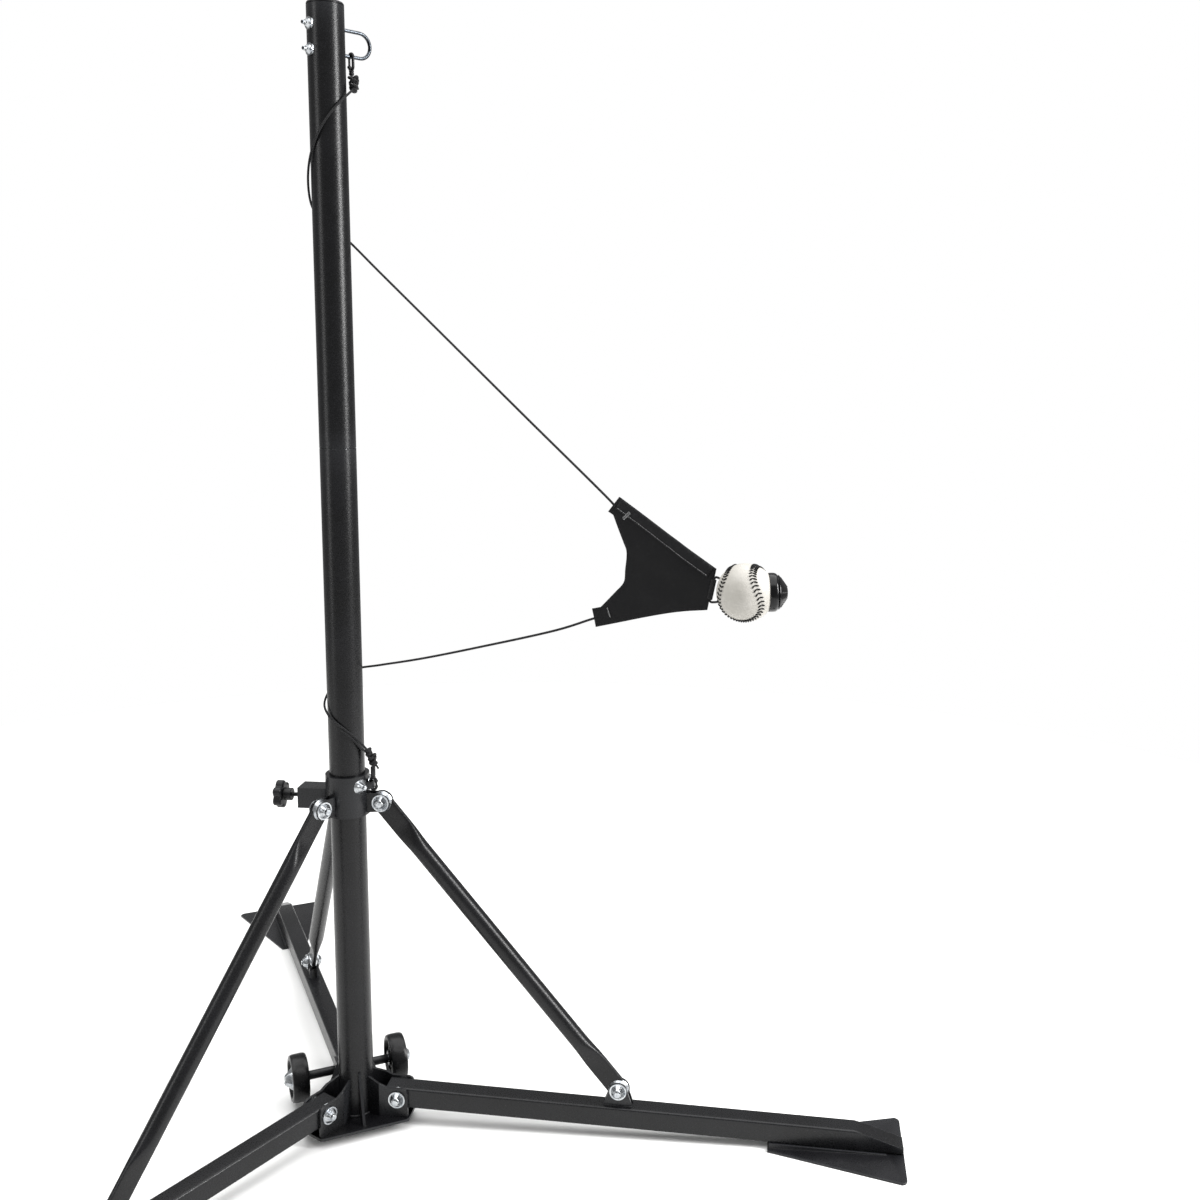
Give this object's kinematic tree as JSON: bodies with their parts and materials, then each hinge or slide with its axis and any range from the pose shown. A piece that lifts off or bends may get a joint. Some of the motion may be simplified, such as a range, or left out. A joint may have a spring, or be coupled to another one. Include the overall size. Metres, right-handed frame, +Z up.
{
  "type": "tethered-ball batting trainer",
  "caption": "Two-piece pole on a folding three-leg stand with transport wheels; a ball in a webbing sling is tethered to the pole by two cords wrapped round it.",
  "frame": {"origin": "the pole's axis at floor level", "axes": "+Z up along the pole; the front right leg points 6 degrees clockwise of +X; the viewer stands on the -Y side"},
  "size_m": [1.3493, 1.4673, 1.6151],
  "materials": {
    "black_coat": "satin black powder coat",
    "zinc": "bright zinc plate",
    "chrome": "polished",
    "black_plastic": "matt moulded",
    "wheel_plastic": "matt hard plastic",
    "nylon": "woven black nylon",
    "ball_leather": "off-white hide",
    "gloss_black": "gloss moulded"
  },
  "bodies": {
    "stand": {"base_frame": "black_coat", "pole_lower": "black_coat", "pole_spigot": "zinc", "pole_upper": "black_coat", "pole_cap": "black_plastic", "leg_bolt_1": "zinc", "leg_nut_1": "zinc", "leg_bolt_2": "zinc", "leg_nut_2": "zinc", "axle": "zinc", "axle_spacer_1": "black_coat", "axle_spacer_2": "black_coat", "axle_nut_1": "zinc", "axle_nut_2": "zinc", "top_eye": "chrome", "top_eye_washer_1": "chrome", "top_eye_washer_2": "chrome", "top_eye_nut_1": "chrome", "top_eye_nut_2": "chrome", "clip_upper": "black_plastic"},
    "leg_1_arm": {"leg_1": "black_coat", "foot_1": "black_coat", "brace_bolt_1": "zinc", "brace_nut_1": "zinc"},
    "leg_2_arm": {"leg_2": "black_coat", "foot_2": "black_coat", "brace_bolt_2": "zinc", "brace_nut_2": "zinc"},
    "leg_3_arm": {"leg_3": "black_coat", "foot_3": "black_coat", "brace_bolt_3": "zinc", "brace_nut_3": "zinc"},
    "brace_1_arm": {"brace_1": "black_coat"},
    "brace_2_arm": {"brace_2": "black_coat"},
    "brace_3_arm": {"brace_3": "black_coat"},
    "collar_slider": {"collar": "black_coat", "collar_bolt_1": "zinc", "collar_bolt_2": "zinc", "collar_bolt_3": "zinc", "collar_nut_1": "zinc", "collar_nut_2": "zinc", "collar_nut_3": "zinc", "collar_eye": "zinc", "collar_eye_screw_1": "zinc", "collar_eye_screw_2": "zinc", "clip_lower": "black_plastic"},
    "clamp_knob": {"knob": "black_plastic", "knob_screw": "zinc"},
    "wheel_left": {"wheel_1": "wheel_plastic"},
    "wheel_right": {"wheel_2": "wheel_plastic"},
    "tether": {"cord_upper": "nylon", "cord_lower": "nylon", "sling": "nylon", "ball_loop": "nylon"},
    "ball_unit": {"ball": "ball_leather", "ball_stopper": "gloss_black"}
  },
  "joints": [
    {"name": "leg_1_fold", "type": "hinge", "parent": "stand", "child": "leg_1_arm", "pos_m": [0.06763, -0.00711, 0.0445], "axis": [-0.1045, -0.9945, 0], "range_deg": [0, 86]},
    {"name": "leg_2_fold", "type": "hinge", "parent": "stand", "child": "leg_2_arm", "pos_m": [-0.03997, -0.05501, 0.0445], "axis": [-0.809, 0.5878, 0], "range_deg": [0, 86]},
    {"name": "leg_3_fold", "type": "hinge", "parent": "stand", "child": "leg_3_arm", "pos_m": [-0.02766, 0.06212, 0.0445], "axis": [0.9135, 0.4067, 0], "range_deg": [0, 86]},
    {"name": "brace_1_pivot", "type": "hinge", "parent": "leg_1_arm", "child": "brace_1_arm", "pos_m": [0.39474, -0.04149, 0.07058], "axis": [-0.1045, -0.9945, 0], "range_deg": [-123.9, 0]},
    {"name": "brace_2_pivot", "type": "hinge", "parent": "leg_2_arm", "child": "brace_2_arm", "pos_m": [-0.2333, -0.32111, 0.07058], "axis": [-0.809, 0.5878, 0], "range_deg": [-123.9, 0]},
    {"name": "brace_3_pivot", "type": "hinge", "parent": "leg_3_arm", "child": "brace_3_arm", "pos_m": [-0.16144, 0.3626, 0.07058], "axis": [0.9135, 0.4067, 0], "range_deg": [-123.9, 0]},
    {"name": "collar_slide", "type": "slide", "parent": "stand", "child": "collar_slider", "axis": [0, 0, 1], "range_m": [0, 0.4276]},
    {"name": "knob_turn", "type": "hinge", "parent": "collar_slider", "child": "clamp_knob", "pos_m": [-0.08354, 0.00878, 0.5], "axis": [-0.9945, 0.1045, 0], "range_deg": [0, 360]},
    {"name": "wheel_left_spin", "type": "hinge", "parent": "stand", "child": "wheel_left", "pos_m": [-0.09572, 0.03182, 0.0445], "axis": [-0.9135, -0.4067, 0], "continuous": true},
    {"name": "wheel_right_spin", "type": "hinge", "parent": "stand", "child": "wheel_right", "pos_m": [0.0404, 0.09242, 0.0445], "axis": [-0.9135, -0.4067, 0], "continuous": true},
    {"name": "tether_swing", "type": "hinge", "parent": "stand", "child": "tether", "pos_m": [0, 0, 0.87], "axis": [0, 0, 1], "range_deg": [-180, 180], "deforming": ["cord_lower"]},
    {"name": "ball_spin", "type": "hinge", "parent": "tether", "child": "ball_unit", "pos_m": [0.56063, -0.24251, 0.8462], "axis": [0.9994, 0.0349, 0], "continuous": true}
  ],
  "couplings": [
    {"joint": "leg_2_fold", "follows": "leg_1_fold", "ratio": 1},
    {"joint": "leg_3_fold", "follows": "leg_1_fold", "ratio": 1},
    {"joint": "brace_1_pivot", "follows": "leg_1_fold", "ratio": -1.4394},
    {"joint": "brace_2_pivot", "follows": "leg_1_fold", "ratio": -1.4394},
    {"joint": "brace_3_pivot", "follows": "leg_1_fold", "ratio": -1.4394},
    {"joint": "collar_slide", "follows": "leg_1_fold", "m_per_rad": 0.28449}
  ]
}
